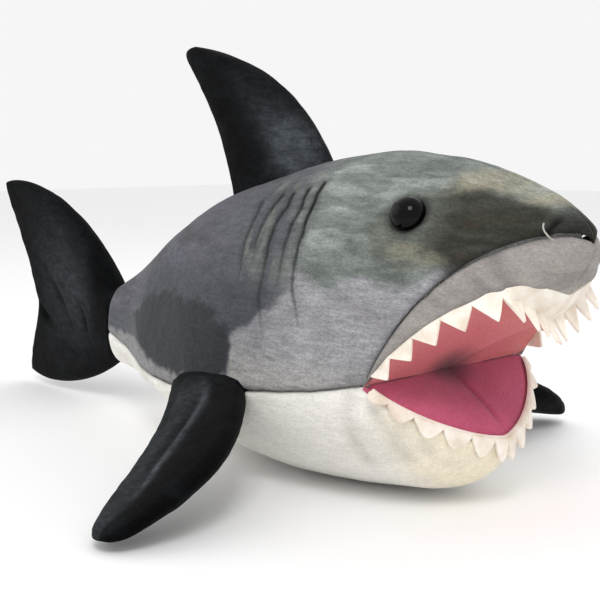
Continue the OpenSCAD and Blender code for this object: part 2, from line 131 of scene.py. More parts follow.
def trunk_point(back, phi, inset=0, lean=0):
    """Point of the trunk, back mm behind the mouth: phi is 0 at the left side seam, 90 on the back."""
    phi = np.radians(phi)
    u = back / trunk_len
    half_w, mid = along(trunk_keys, u, 1) - inset, along(trunk_keys, u, 4)
    top, low = along(trunk_keys, u, 2) - mid - inset, mid - along(trunk_keys, u, 3) - inset
    power = np.where(phi < 0, 1.0, 0.97)
    fall = np.where(phi < 0, low, top) * spow(np.sin(phi), power)
    return np.stack([-back + lean * np.minimum(fall, 0), half_w * spow(np.cos(phi), power),
        np.maximum(mid + fall, inset - belly)], -1)


def head_point(angle, phi, inset=0):
    """Point of the head at an angle above level about the mouth line."""
    power = mix(1.4, 0.97, np.clip((angle - roof_angle) / 50, 0, 1))
    phi, turn = np.radians(phi), np.radians(angle)
    r = (along(head_keys, angle) - inset) * spow(np.sin(phi), power)
    side = (half_mouth - inset) * spow(np.cos(phi), power)
    return np.stack([r * np.cos(turn), side, r * np.sin(turn)], -1)


def muzzle_seam(phi):
    return 40 + 23 * np.abs(np.cos(np.radians(phi))) ** 1.2


def closer(n, length, seam_roll=9.0):
    """n shares of a length in mm, closer together at both ends, where cloth rolls into its seams."""
    t = np.linspace(0, 1, n)
    return t - seam_roll / length * np.sin(2 * np.pi * t) / (2 * np.pi)


def normals(P):
    """Outward unit normals of a grid of points whose rows and columns turn clockwise from outside."""
    N = np.cross(np.gradient(P, axis=0), np.gradient(P, axis=1))
    return N / np.maximum(np.linalg.norm(N, axis=-1, keepdims=True), 1e-9)


def travel(P, axis):
    """Distance in mm along the rows or columns of a grid, from its first line."""
    d = np.linalg.norm(np.diff(P, axis=axis), axis=-1)
    z = np.zeros_like(np.take(P, [0], axis=axis)[..., 0])
    return np.concatenate([z, np.cumsum(d, axis=axis)], axis=axis)


@np.errstate(over="ignore")
def wool(P, size, seed=0):
    """Smooth random lumps, from -1 to 1, size mm across (one number or three)."""
    q = P / np.asarray(size, float) + 17.3 * seed
    i = np.floor(q).astype(np.int64)
    f = q - i
    f = f * f * (3 - 2 * f)
    total = 0
    for dx in (0, 1):
        for dy in (0, 1):
            for dz in (0, 1):
                h = (i[..., 0] + dx) * 73856093 ^ (i[..., 1] + dy) * 19349663
                h = h ^ (i[..., 2] + dz) * 83492791
                h = (h ^ (h >> 13)) * 1274126177 & 0x7FFFFFFF
                h = ((h ^ (h >> 16)) & 0xFFFF) / 32767.5 - 1
                total = total + h * (np.where(dx, f[..., 0], 1 - f[..., 0])
                    * np.where(dy, f[..., 1], 1 - f[..., 1]) * np.where(dz, f[..., 2], 1 - f[..., 2]))
    return total


def fluff(P, size, seed=0):
    """Lumps with finer lumps on them."""
    return (wool(P, size, seed) + 0.5 * wool(P, np.asarray(size) / 2.1, seed + 1)
        + 0.25 * wool(P, np.asarray(size) / 4.3, seed + 2)) / 1.4


def dye(text):
    """Linear colour of a shop's hex colour."""
    c = np.array([int(text[i:i + 2], 16) for i in (1, 3, 5)]) / 255
    return np.where(c <= 0.04045, c / 12.92, ((c + 0.055) / 1.055) ** 2.4)


def line_gap(P, points):
    """Distance in the side view from a broken line, and how far along it the nearest place is."""
    q = np.stack([P[..., 0], P[..., 2]], -1)
    points = np.array(points, float)
    steps = np.linalg.norm(np.diff(points, axis=0), axis=-1)
    run, whole = 0.0, steps.sum()
    best, share = np.full(q.shape[:-1], 1e9), np.zeros(q.shape[:-1])
    for a, b, w in zip(points[:-1], points[1:], steps):
        t = np.clip(((q - a) @ (b - a)) / w**2, 0, 1)
        d = np.linalg.norm(q - a - t[..., None] * (b - a), axis=-1)
        near = d < best
        best, share = np.where(near, d, best), np.where(near, (run + t * w) / whole, share)
        run += w
    return best, share


def patch(P, outline, soft=3.0, ragged=2.5, seed=3):
    """Share of a printed patch whose outline is given in the side view: 1 inside, 0 outside."""
    d, _ = line_gap(P, outline + outline[:1])
    x, z = P[..., 0], P[..., 2]
    inside = np.zeros(x.shape, bool)
    for (xa, za), (xb, zb) in zip(outline, outline[1:] + outline[:1]):
        cross = (za > z) != (zb > z)
        at = xa + (z - za) * (xb - xa) / np.where(zb == za, 1e-9, zb - za)
        inside ^= cross & (x < at)
    d = np.where(inside, d, -d) + ragged * fluff(P, (9, 9, 6), seed)
    return step(-soft, soft, d)


def over(colour, hex_colour, share):
    return colour + (dye(hex_colour) - colour) * np.clip(share, 0, 1)[..., None]


def smooth(piece):
    piece.data.polygons.foreach_set("use_smooth", [True] * len(piece.data.polygons))


def apply(piece, name, kind, **settings):
    """Adds a modifier with its settings and applies it."""
    modifier = piece.modifiers.new(name, kind)
    for key, value in settings.items():
        setattr(modifier, key, value)
    bpy.context.view_layer.objects.active = piece
    with bpy.context.temp_override(object=piece, active_object=piece, selected_objects=[piece]):
        bpy.ops.object.modifier_apply(modifier=name)


def skin_piece(name, P, colour, thick=0.0, wrap=False):
    """Mesh of a grid of points in mm from the mouth line, with its print and a UV map in mm."""
    rows, cols = P.shape[:2]
    idx = np.arange(rows * cols).reshape(rows, cols)
    nxt = np.roll(idx, -1, axis=1)
    quads = np.stack([idx[1:], nxt[1:], nxt[:-1], idx[:-1]], -1)
    quads = (quads if wrap else quads[:, :-1]).reshape(-1, 4)
    mesh = bpy.data.meshes.new(name)
    mesh.from_pydata(((P.reshape(-1, 3) + mouth) / 1000).tolist(), [], quads.tolist())
    piece = put(name, mesh)
    uv = np.stack([travel(P, 0), travel(P, 1)], -1).reshape(-1, 2)
    loops = np.empty(len(mesh.loops), np.int32)
    mesh.loops.foreach_get("vertex_index", loops)
    mesh.uv_layers.new(name="cloth").data.foreach_set("uv", uv[loops].astype(np.float32).ravel())
    dyed = np.concatenate([colour.reshape(-1, 3), np.ones((rows * cols, 1))], 1).astype(np.float32)
    mesh.color_attributes.new("print", "FLOAT_COLOR", "POINT").data.foreach_set("color", dyed.ravel())
    if thick:
        apply(piece, "Wall", "SOLIDIFY", thickness=thick / 1000, offset=-1)
    smooth(piece)
    return piece


def roll(d, width, depth):
    """How far cloth sinks d mm from a seam that it rolls into."""
    s = np.clip(1 - d / width, 0, 1)
    return depth * (1 - np.sqrt(np.maximum(1 - s * s, 0)))


def seam_shade(near, much):
    """Painted shade: cloth is darker where it rolls into a seam."""
    return np.clip(1 - much * np.exp(-near / 1.6), 0, 1)[..., None]


def feed(node, **values):
    """Sets a node's options and inputs. An input that is given a socket is linked to it."""
    for key, value in values.items():
        if hasattr(node, key):
            setattr(node, key, value)
        elif isinstance(value, bpy.types.NodeSocket):
            node.id_data.links.new(value, node.inputs[key.replace("_", " ")])
        else:
            node.inputs[key.replace("_", " ")].default_value = value


def add(tree, kind, place, **values):
    """Adds a node with its settings and links, and returns it."""
    node = tree.nodes.new(kind)
    node.location = (place[0] * 200, place[1] * 200)
    feed(node, **values)
    return node


def material(name, **sockets):
    """A material with its shader's own sockets set, its node tree and that shader."""
    m = bpy.data.materials.new(name)
    m.use_nodes = True
    shader = next(n for n in m.node_tree.nodes if n.type == "BSDF_PRINCIPLED")
    feed(shader, **sockets)
    return m, m.node_tree, shader


def fleece(name, mottle=0.34, streak=0.26, sheen=0.10, shine=0.18, brushed=(90, 260, 420)):
    """Short-pile polyester fleece over a printed ground: matt, soft and brushed in streaks."""
    m, t, shader = material(name, Roughness=0.93, Specular_IOR_Level=shine, Sheen_Weight=sheen,
        Sheen_Roughness=0.45)
    # Scales are per metre: streaks 11 mm long, clumps of 4 mm and tufts about 1 mm across.
    # Real pile is finer, and the tufts are as coarse as they have to be to show.
    where = add(t, "ShaderNodeTexCoord", (-9, 0)).outputs["Object"]
    brush = add(t, "ShaderNodeMapping", (-8, 1), Vector=where, Scale=brushed)
    tufts = add(t, "ShaderNodeMapping", (-8, -1), Vector=where, Scale=(520, 900, 1100))
    streaks = add(t, "ShaderNodeTexNoise", (-7, 1), Vector=brush.outputs["Vector"], Scale=1.0,
        Detail=5.0, Roughness=0.65)
    fibres = add(t, "ShaderNodeTexNoise", (-7, -1), Vector=tufts.outputs["Vector"], Scale=1.0,
        Detail=6.0, Roughness=0.7)
    clumps = add(t, "ShaderNodeTexNoise", (-7, -2), Vector=where, Scale=230.0, Detail=3.0, Roughness=0.6)
    low = add(t, "ShaderNodeMapRange", (-5, 1), Value=streaks.outputs["Fac"], From_Min=0.3, From_Max=0.7,
        To_Min=1 - streak, To_Max=1 + streak)
    fine = add(t, "ShaderNodeMapRange", (-5, -1), Value=fibres.outputs["Fac"], From_Min=0.3, From_Max=0.7,
        To_Min=1 - mottle, To_Max=1 + mottle)
    both = add(t, "ShaderNodeMath", (-4, 0), operation="MULTIPLY")
    t.links.new(low.outputs["Result"], both.inputs[0])
    t.links.new(fine.outputs["Result"], both.inputs[1])
    ground = add(t, "ShaderNodeAttribute", (-6, 3), attribute_name="print")
    cloth = add(t, "ShaderNodeVectorMath", (-3, 1), operation="SCALE", Vector=ground.outputs["Color"],
        Scale=both.outputs[0])
    depth = add(t, "ShaderNodeMath", (-4, -2), operation="ADD")
    t.links.new(fibres.outputs["Fac"], depth.inputs[0])
    t.links.new(clumps.outputs["Fac"], depth.inputs[1])
    bump = add(t, "ShaderNodeBump", (-2, -2), Strength=0.8, Distance=0.00045, Height=depth.outputs[0])
    feed(shader, Base_Color=cloth.outputs["Vector"], Normal=bump.outputs["Normal"])
    return m


def gill_lines(P):
    """Five painted gill slits, darkest at the top, which fade towards the fin."""
    lines = [
        ([(-106, 88), (-104, 77), (-104, 67), (-100, 52), (-101, 43)], 0.65),
        ([(-90, 92), (-93, 82), (-93, 67), (-90, 56)], 0.8),
        ([(-80, 94), (-79, 86), (-82, 77), (-81, 66), (-78, 37), (-71, 20)], 0.85),
        ([(-69, 96), (-66, 86), (-68, 76), (-68, 68), (-65, 44)], 0.9),
        ([(-59, 100), (-58, 88), (-57, 77), (-56, 57), (-53, 44), (-44, 25)], 1.0)]
    mark = np.zeros(P.shape[:-1])
    for points, weight in lines:
        d, share = line_gap(P + 0.8 * fluff(P, 7, 5)[..., None], points)
        thin = np.exp(-(d / mix(2.0, 1.3, share)) ** 4) * (1 - share) ** 0.45
        wide = 0.5 * np.exp(-(d / 5.0) ** 2) * (1 - share) ** 0.8
        mark = np.maximum(mark, weight * np.maximum(1.15 * thin, wide))
    return mark


def back_print(P):
    """Greys of the back: slate trunk, lighter streaky head, pale cheek, dark mask before the eye."""
    x, z = P[..., 0], P[..., 2]
    c = np.broadcast_to(dye("#55565c"), P.shape).copy()
    c = over(c, "#5b5a66", 0.8 * step(-110, -200, x) * step(10, 50, z))
    c = over(c, "#3f4044", 0.75 * step(0.0, 0.6, fluff(P, (36, 30, 9), 32)) * step(-70, -110, x))
    c = over(c, "#6d6c74", 0.5 * step(0.1, 0.7, fluff(P, (44, 30, 8), 36)) * step(-90, -130, x))
    c = over(c, "#46474c", 0.5 * step(-60, -110, x) * (0.5 + 0.5 * fluff(P, (40, 30, 14), 31)))
    band = step(60, 34, z + 6 * fluff(P, (20, 16, 9), 38)) * step(-62, -80, x) * step(-262, -215, x)
    c = over(c, "#414349", 0.85 * band)
    # head
    head = step(-75, -45, x + 0.15 * (z - 60) + 4 * fluff(P, (14, 14, 8), 7))
    c = over(c, "#727874", head)
    light = step(0.0, 0.55, fluff(P, (30, 18, 5.5), 11)) * head * step(52, 78, z)
    c = over(c, "#a0a6a0", 0.65 * light)
    dark = step(0.0, 0.6, fluff(P, (24, 18, 5), 12)) * head
    c = over(c, "#545955", 0.6 * dark)
    # cheek and the pale flank under the slate
    cheek = patch(P, [(-57, 62), (-56, 56), (-41, 48), (-27, 47), (-18, 51), (-9, 55), (2, 51), (17, 50),
        (24, 53), (30, 58), (36, 64), (60, 60), (60, -40), (-97, -40), (-99, -20), (-98, 14), (-78, 27),
        (-68, 33), (-57, 46)], 3.0, 3.0, 21)
    c = over(c, "#949397", cheek)
    c = over(c, "#79787c", 0.8 * cheek * step(-38, -84, x))
    c = over(c, "#aaa8a2", 0.6 * cheek * step(20, -10, z))
    c = over(c, "#7f7e80", 0.5 * cheek * step(0.15, 0.6, fluff(P, (22, 18, 9), 14)))
    smudge, _ = line_gap(P, [(-24, 47), (-10, 40), (12, 34)])
    c = over(c, "#7c7a7b", 0.55 * np.exp(-(smudge / 5.5) ** 2) * cheek)
    # flank behind the fin
    strip = patch(P, [(-103, 12), (-103, -40), (-320, -40), (-320, -10), (-240, -9), (-190, -14), (-150, -15),
        (-112, -12)], 2.5, 2.5, 23)
    c = over(c, "#8d8c8c", 0.85 * strip)
    coal = patch(P, [(-102, 18), (-101, 4), (-103, -13), (-125, -16), (-153, -17), (-205, -15), (-236, -8),
        (-252, 6), (-240, 14), (-214, 24), (-182, 30), (-136, 31), (-116, 25)], 3.0, 6.0, 25)
    c = over(c, "#2b2d31", coal)
    # mask between eye and snout
    mask = patch(P, [(-14, 78), (-6, 90), (14, 99), (24, 101), (32, 100), (45, 98), (52, 95), (60, 92),
        (71, 87), (90, 80), (100, 60), (80, 50), (56, 52), (36, 60), (26, 63), (14, 60), (5, 62), (-8, 69)],
        5.0, 3.5, 27)
    core = step(14, 36, x + 5 * fluff(P, (14, 14, 5), 29))
    grain = 0.5 + 0.5 * fluff(P, (22, 12, 3.5), 30)
    c = over(c, "#565850", mask * mix(0.55, 0.95, grain))
    c = over(c, "#2c2b25", mask * core * mix(0.75, 1.0, grain))
    c = over(c, "#3d342b", 0.5 * mask * core * step(0.2, 0.7, fluff(P, (16, 12, 4), 34)))
    # Painted shade: the top of the snout's tip goes near black where it turns away
    c = over(c, "#1d1d1b", 0.8 * step(70, 84, x) * step(64, 84, z))
    # pale flecks round the mask
    for ax, az, w, much in ((35, 104, 14, 0.6), (52, 99, 9, 0.4), (65, 93, 9, 0.65), (14, 69, 9, 0.35),
            (26, 65, 8, 0.3)):
        d = np.hypot((x - ax) / w, (z - az) / (0.4 * w)) + 0.55 * fluff(P, (9, 8, 4), 33)
        c = over(c, "#a09a85", much * step(1.5, 0.2, d))
    between = step(-112, -98, x) * step(-50, -62, x) * step(38, 62, z) * step(106, 96, z)
    c = over(c, "#777b72", 0.6 * between * step(-0.1, 0.5, fluff(P, (5, 18, 26), 37)))
    c = over(c, "#0c0d0f", gill_lines(P))
    slit, _ = line_gap(P, [*nostril, (79, 74)])
    return over(c, "#0c0c0b", np.exp(-(slit / 1.8) ** 2))


fleece_back = fleece("Printed fleece")
nostril = [(74, 82), (73, 78), (75, 75)]
eye_spot = head_point(eye_angle, eye_phi)
head_rows_n, trunk_rows_n, side_cols = 78, 205, 104


def stuffed(P, N, lumps=1.0, seed=0):
    """Swells and hollows that hand stuffing leaves in a panel."""
    return N * (lumps * (1.0 * fluff(P, 46, 40 + seed) + 0.35 * fluff(P, 13, 43 + seed)))[..., None]


def back_plush(side):
    phi = mix(side_edge, top_edge, closer(side_cols, 120))[None, :]
    up = closer(head_rows_n + 12, 100)[:head_rows_n, None]
    up = up / up[-1] * (1 - 1.0 / head_rows_n)
    head = head_point(mix(muzzle_seam(phi) + seam_gap, 90, up), phi)
    trunk = trunk_point(np.linspace(0, trunk_len, trunk_rows_n)[:, None], phi)
    P = np.concatenate([head, trunk])
    N = normals(P)
    rows_d, cols_d = travel(P, 0), travel(P, 1)
    to_muzzle, to_end = rows_d, rows_d[-1:] - rows_d
    to_side = np.where(P[..., 0] > 2, 99, cols_d)
    to_top = cols_d[:, -1:] - cols_d
    colour = back_print(P)
    sink = roll(to_muzzle, 4.0, 2.8) * mix(1, 0.35, step(50, 78, phi)) + roll(to_side, 4.5, 2.4)
    sink = sink + 0.8 * roll(to_top, 3.0, 1.2) + roll(to_end, 4.5, 3.0)
    near = np.minimum(np.minimum(to_muzzle, to_side), to_end)
    pucker = 0.7 * wool(P, 7, 50) * np.exp(-near / 7)
    gap = np.linalg.norm(P - eye_spot, axis=-1)
    socket = 1.6 * step(13.5, 8.5, gap) - 0.7 * np.exp(-((gap - 15) / 3.5) ** 2)
    pleat, _ = line_gap(P, nostril)
    slit = 0.7 * gill_lines(P) + 1.5 * np.exp(-(pleat / 1.6) ** 2)
    turn = np.degrees(np.arctan2(P[..., 2], P[..., 0]))
    brow = 4.0 * np.exp(-((turn - 51) / 11) ** 2) * np.sin(np.radians(phi)) ** 3 * (P[..., 0] > 0)
    P = P + stuffed(P, N, 0.8) + N * (brow + pucker - sink - socket - slit)[..., None]
    # Painted shade: a dark ring where the plush sinks round the eye's rim
    ring = np.exp(-((gap - 9.5) / 3.0) ** 2)
    colour = over(colour * seam_shade(near, 0.35), "#2d2d2a", 0.65 * ring)
    if side == "right":
        P, colour = (P * (1, -1, 1))[:, ::-1], colour[:, ::-1]
    piece = skin_piece("back_plush_" + side, P, colour, thick=panel_t)
    piece.data.materials.append(fleece_back)
    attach(piece, "torso")
    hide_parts("back_panel_" + side)


back_plush("left")
back_plush("right")

# ---- Muzzle panels ----
# A paler fleece panel covers each side of the muzzle. Its top is sewn to the back panel,
# and its lower edge rolls under to make the upper lip. The stuffing pulls creases in it.
fleece_muzzle = fleece("Muzzle fleece", mottle=0.24, streak=0.10)
# Where the panels that meet at the corner of the mouth start, in degrees
corner_edge = 0.4


def lip_angle(phi):
    return roof_angle + 22 * np.abs(np.cos(np.radians(phi))) ** 1.8


def lip_edge(phi):
    """Lower edge of the muzzle's fleece. The band of the teeth shows below it."""
    return lip_angle(phi) + 1.5 * np.sin(np.radians(phi)) + 2.0 * np.sin(np.radians(phi)) ** 8


def muzzle_plush(side):
    phi = mix(corner_edge, top_edge, closer(118, 120))[None, :]
    s = closer(64, 40)[:, None]
    P = head_point(mix(lip_edge(phi), muzzle_seam(phi) - seam_gap, s), phi)
    N = normals(P)
    rows_d, cols_d = travel(P, 0), travel(P, 1)
    to_lip, to_seam = rows_d, rows_d[-1:] - rows_d
    to_mid = cols_d[:, -1:] - cols_d
    c = np.broadcast_to(dye("#96918d"), P.shape).copy()
    c = over(c, "#b3aea6", 0.8 * step(48, 82, P[..., 0]) * step(70, 40, P[..., 2]))
    c = over(c, "#a8a39d", 0.6 * step(0, 0.6, fluff(P, (20, 20, 9), 61)))
    c = over(c, "#7b7674", 0.5 * step(0.1, 0.7, fluff(P, (24, 20, 8), 62)))
    crease = np.zeros(P.shape[:-1])
    for points, w, h in (([(54, 69), (59, 62), (64, 56), (68, 51)], 3.2, 1.0),
            ([(48, 58), (54, 54), (59, 51)], 2.6, 0.7), ([(30, 48), (36, 44), (41, 42)], 3.0, 0.4),
            ([(76, 66), (78, 56), (76, 48)], 3.5, 0.45)):
        d, share = line_gap(P, points)
        fade = np.sin(np.pi * np.clip(share * 0.9 + 0.05, 0, 1)) ** 0.5
        crease = np.maximum(crease, h * np.exp(-(d / w) ** 2) * fade)
    # Painted shade in the creases that the stuffing pulls
    c = over(c, "#6a6565", 0.55 * crease)
    near = np.minimum(to_lip, to_seam)
    sink = roll(to_seam, 4.0, 2.8) * mix(1, 0.35, step(50, 78, phi)) + roll(to_lip, 4.0, 1.6)
    sink = sink + 0.8 * roll(to_mid, 3.0, 1.2)
    pucker = 0.6 * wool(P, 6, 63) * np.exp(-near / 6)
    P = P + stuffed(P, N, 0.9, 5) + N * (pucker - sink - 1.6 * crease)[..., None]
    c = c * seam_shade(near, 0.3)
    if side == "right":
        P, c = (P * (1, -1, 1))[:, ::-1], c[:, ::-1]
    piece = skin_piece("muzzle_plush_" + side, P, c, thick=panel_t)
    piece.data.materials.append(fleece_muzzle)
    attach(piece, "torso")
    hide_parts("muzzle_panel_" + side)


muzzle_plush("left")
muzzle_plush("right")

# ---- Belly and chin ----
# One pale fleece piece runs from the tail under the belly, across the throat and up the
# chin to the lower lip.
fleece_white = fleece("Cream fleece", mottle=0.14, streak=0.07, sheen=0.15)
# Slope and length of the mouth's floor, and the reach of the jaw by its angle below level
floor_angle, floor_reach = 40, 51
jaw_keys = np.array([[floor_angle, floor_reach], [60, 1.16 * floor_reach],
    [80, 0.92 * belly], [100, 0.96 * belly]])


def jaw_point(angle, phi, inset=0):
    """Point of the lower jaw at an angle below level about the mouth line."""
    power = mix(1.38, 1.0, (angle - floor_angle) / 60)
    phi, turn = np.radians(phi), np.radians(angle)
    r = (along(jaw_keys, angle) - inset) * spow(np.sin(phi), power)
    side = (half_mouth - 1.6 - inset) * spow(np.cos(phi), power)
    return np.stack([r * np.cos(turn), side, -r * np.sin(turn)], -1)


t = closer(190, 200)
theta = mix(corner_edge, 180 - corner_edge, t)[None, :]
s = closer(60, 60)[:, None] * 0.985
chin = jaw_point(mix(floor_angle, 98, s), theta)
back = np.linspace(3.0, trunk_len, 200)[:, None]
theta = mix(side_edge, 180 - side_edge, t)[None, :]
under = trunk_point(back, -theta, 0, 0.23 * np.maximum(0, 1 - back / (0.25 * trunk_len)))
P = np.concatenate([chin, under])
# The throat is eased, so that the chin runs into the belly without a kink
ease = 0.4 * np.sin(np.linspace(0, np.pi, 22))[:, None, None]
for _ in range(60):
    P[50:72] += ease * (P[49:71] + P[51:73] - 2 * P[50:72])
N = -normals(P)
N[:, 0], N[:, -1] = N[:, 1], N[:, -2]
rows_d, cols_d = travel(P, 0), travel(P, 1)
to_lip, to_end = rows_d, rows_d[-1:] - rows_d
to_side = np.minimum(cols_d, cols_d[:, -1:] - cols_d)
trunk_part = step(0, 6, -P[..., 0])
sink = roll(to_lip, 4.5, 2.6) + roll(to_side, 4.5, 2.4) * trunk_part + roll(to_end, 4.5, 3.0)
near = np.minimum(to_lip, np.minimum(to_side, to_end))
flat = step(-belly + 0.5, -belly + 6, P[..., 2])
c = np.broadcast_to(dye("#efece5"), P.shape).copy()
c = over(c, "#f1e6cb", 0.8 * step(-6, 20, P[..., 0]))
c = over(c, "#d9d5cb", 0.5 * step(0, 0.7, fluff(P, (30, 24, 12), 71)))
crease = np.zeros(P.shape[:-1])
for points, w, h in (([(3, -12), (8, -26), (10, -40)], 4.0, 0.8),
        ([(-10, -8), (-14, -26), (-12, -44)], 5.0, 0.7), ([(20, -34), (24, -44)], 3.0, 0.4)):
    d, _ = line_gap(P, points)
    crease = np.maximum(crease, h * np.exp(-(d / w) ** 2))
# Painted shade in the creases
c = over(c, "#a8a49a", 0.35 * crease)
pucker = 0.6 * wool(P, 7, 73) * np.exp(-near / 7)
P = P + stuffed(P, N, 0.8, 9) * flat[..., None] + N * ((pucker - 1.5 * crease) * flat - sink)[..., None]
P[..., 2] = np.maximum(P[..., 2], -belly)
c = c * seam_shade(near, 0.25)
belly_chin = skin_piece("belly_and_chin_plush", P[:, ::-1], c[:, ::-1], thick=panel_t)
belly_chin.data.materials.append(fleece_white)
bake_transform(belly_chin)
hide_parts("belly_panel", "chin_panel")

# ---- Mouth linings ----
# Rib-knit jersey lines the roof and the floor of the mouth. Each lining is sewn round its
# lip, and the two are joined along the throat, where painted shade darkens the pink.


def jersey(name, rib):
    """Rib-knit jersey: fine ribs across the mouth, with lint that breaks them up."""
    m, t, shader = material(name, Roughness=0.85, Specular_IOR_Level=0.2, Sheen_Weight=0.2, Sheen_Roughness=0.5)
    # The UV map is in mm, so that the ribs are 1.0 to 1.2 mm apart and follow the cloth
    cloth = add(t, "ShaderNodeUVMap", (-7, 0), uv_map="cloth")
    ribs = add(t, "ShaderNodeTexWave", (-6, 0), Vector=cloth.outputs["UV"], wave_type="BANDS",
        bands_direction="X", Scale=rib, Distortion=0.6, Detail=2.0, Detail_Scale=0.8)
    where = add(t, "ShaderNodeTexCoord", (-7, -2))
    lint = add(t, "ShaderNodeTexNoise", (-6, -2), Vector=where.outputs["Object"], Scale=700.0, Detail=4.0)
    shade = add(t, "ShaderNodeMapRange", (-5, 0), Value=ribs.outputs["Fac"], To_Min=0.74, To_Max=1.16)
    worn = add(t, "ShaderNodeMapRange", (-5, -2), Value=lint.outputs["Fac"], From_Min=0.3, From_Max=0.7,
        To_Min=0.88, To_Max=1.12)
    both = add(t, "ShaderNodeMath", (-4, 0), operation="MULTIPLY")
    t.links.new(shade.outputs["Result"], both.inputs[0])
    t.links.new(worn.outputs["Result"], both.inputs[1])
    ground = add(t, "ShaderNodeAttribute", (-5, 2), attribute_name="print")
    colour = add(t, "ShaderNodeVectorMath", (-3, 1), operation="SCALE", Vector=ground.outputs["Color"],
        Scale=both.outputs[0])
    bump = add(t, "ShaderNodeBump", (-2, -2), Strength=0.7, Distance=0.0004, Height=ribs.outputs["Fac"])
    feed(shader, Base_Color=colour.outputs["Vector"], Normal=bump.outputs["Normal"])
    return m


# Shares of the way from the throat to the lip, with a pinhole left where the rows meet
rho = np.linspace(0.0, 1, 56)[:, None] ** 0.85
rho[0] = 0.004
phi = mix(corner_edge, 180 - corner_edge, closer(150, 150))[None, :]
jersey_t = 1.0
lip = head_point(lip_angle(phi), phi, 2.6)
P = lip * rho[..., None]
P[..., 2] += 2.2 * np.sin(np.pi * rho) * np.sin(np.radians(phi)) + 0.5 * fluff(P, (16, 16, 10), 81) * rho
P[..., 2] -= 0.6 * step(0.93, 1.0, rho) + 1.2 * (1 - rho) ** 6
P[..., 0] -= 3.0 * (1 - rho) ** 6
c = np.broadcast_to(dye("#cf656c"), P.shape).copy()
c = over(c, "#dc877f", 0.7 * step(0.55, 1.0, rho) * (0.6 + 0.4 * fluff(P, 18, 82)))
# Painted shade: the pink goes dark deep in the mouth, towards the throat
c = over(c, "#5c1428", 0.9 * step(0.42, 0.05, rho))
palate = skin_piece("palate_jersey", P, c, thick=jersey_t)
palate.data.materials.append(jersey("Pink palate jersey", 0.26))
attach(palate, "torso")
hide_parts("palate_lining")

# The floor lies on the stuffing of the jaw, with a soft fold down its middle
reach, half_floor = floor_reach - 2.2, half_mouth - 1.2
turn = np.radians(phi)
along_floor = rho * reach * spow(np.sin(turn), 1.38)
across_floor = rho * half_floor * spow(np.cos(turn), 1.38)
swell = 1.8 * np.sin(np.pi * rho) ** 0.8 * np.sin(turn) - 0.8 * step(0.9, 1.0, rho)
flat_point = np.stack([along_floor, across_floor, 0 * along_floor], -1)
swell = swell + 0.7 * fluff(flat_point, (15, 22, 10), 85) * np.sin(np.pi * rho) ** 0.5
fold = np.exp(-((across_floor - 0.12 * along_floor) / 2.2) ** 2)
fold = fold * step(4, 14, along_floor) * step(46, 34, along_floor)
swell = swell - 0.9 * fold
down = np.radians(floor_angle)
P = np.stack([along_floor * np.cos(down) + swell * np.sin(down), across_floor,
    -along_floor * np.sin(down) + swell * np.cos(down)], -1)
P[..., 2] += 0.8 * (1 - rho) ** 6
P[..., 0] -= 2.0 * (1 - rho) ** 6
c = np.broadcast_to(dye("#b9506f"), P.shape).copy()
c = over(c, "#d85f84", 0.75 * step(0.35, 0.85, rho) * (0.65 + 0.35 * fluff(P, 16, 86)))
# Painted shade in the fold down the middle, and deep in the mouth towards the throat
c = over(c, "#9c3c60", 0.6 * fold)
c = over(c, "#5c1428", 0.85 * step(0.40, 0.05, rho))
floor_cloth = skin_piece("mouth_floor_jersey", P[:, ::-1], c[:, ::-1], thick=jersey_t)
floor_cloth.data.materials.append(jersey("Magenta floor jersey", 0.30))
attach(floor_cloth, "lower_jaw")
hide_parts("mouth_floor_lining")

# ---- Teeth ----
# Each row of teeth is one strip of cream felt, cut in a zigzag and caught in the lip's
# seam. The upper teeth hang down and a bit forwards, and the lower ones curl over the chin.


def clouded(t, shader, dark, light, span=(0, 1), **noise):
    """Gives a shader's colour soft clouds between two colours, and returns the noise behind them."""
    where = add(t, "ShaderNodeTexCoord", (-6, 0))
    cloud = add(t, "ShaderNodeTexNoise", (-5, 0), Vector=where.outputs["Object"], **noise)
    ramp = add(t, "ShaderNodeValToRGB", (-3, 1), Fac=cloud.outputs["Fac"])
    for stop, place, colour in zip(ramp.color_ramp.elements, span, (dark, light)):
        stop.position, stop.color = place, (*colour, 1)
    feed(shader, Base_Color=ramp.outputs["Color"])
    return cloud


def felt():
    """Pressed wool felt: matted fibres a millimetre long with no weave, in uneven creams."""
    m, t, shader = material("Cream felt", Roughness=0.95, Specular_IOR_Level=0.15, Sheen_Weight=0.3,
        Subsurface_Weight=0.05)
    clouded(t, shader, dye("#e2d2c0"), dye("#f7efe3"), (0.3, 0.62), Scale=90.0, Detail=3.0)
    where = add(t, "ShaderNodeTexCoord", (-6, -2))
    mat = add(t, "ShaderNodeTexNoise", (-5, -2), Vector=where.outputs["Object"], Scale=900.0, Detail=6.0,
        Roughness=0.7)
    bump = add(t, "ShaderNodeBump", (-2, -1), Strength=0.6, Distance=0.0003, Height=mat.outputs["Fac"])
    feed(shader, Normal=bump.outputs["Normal"])
    return m


cream_felt = felt()
# Share of a tooth's drop that its strip of felt goes up into the seam
strip_top = 0.16


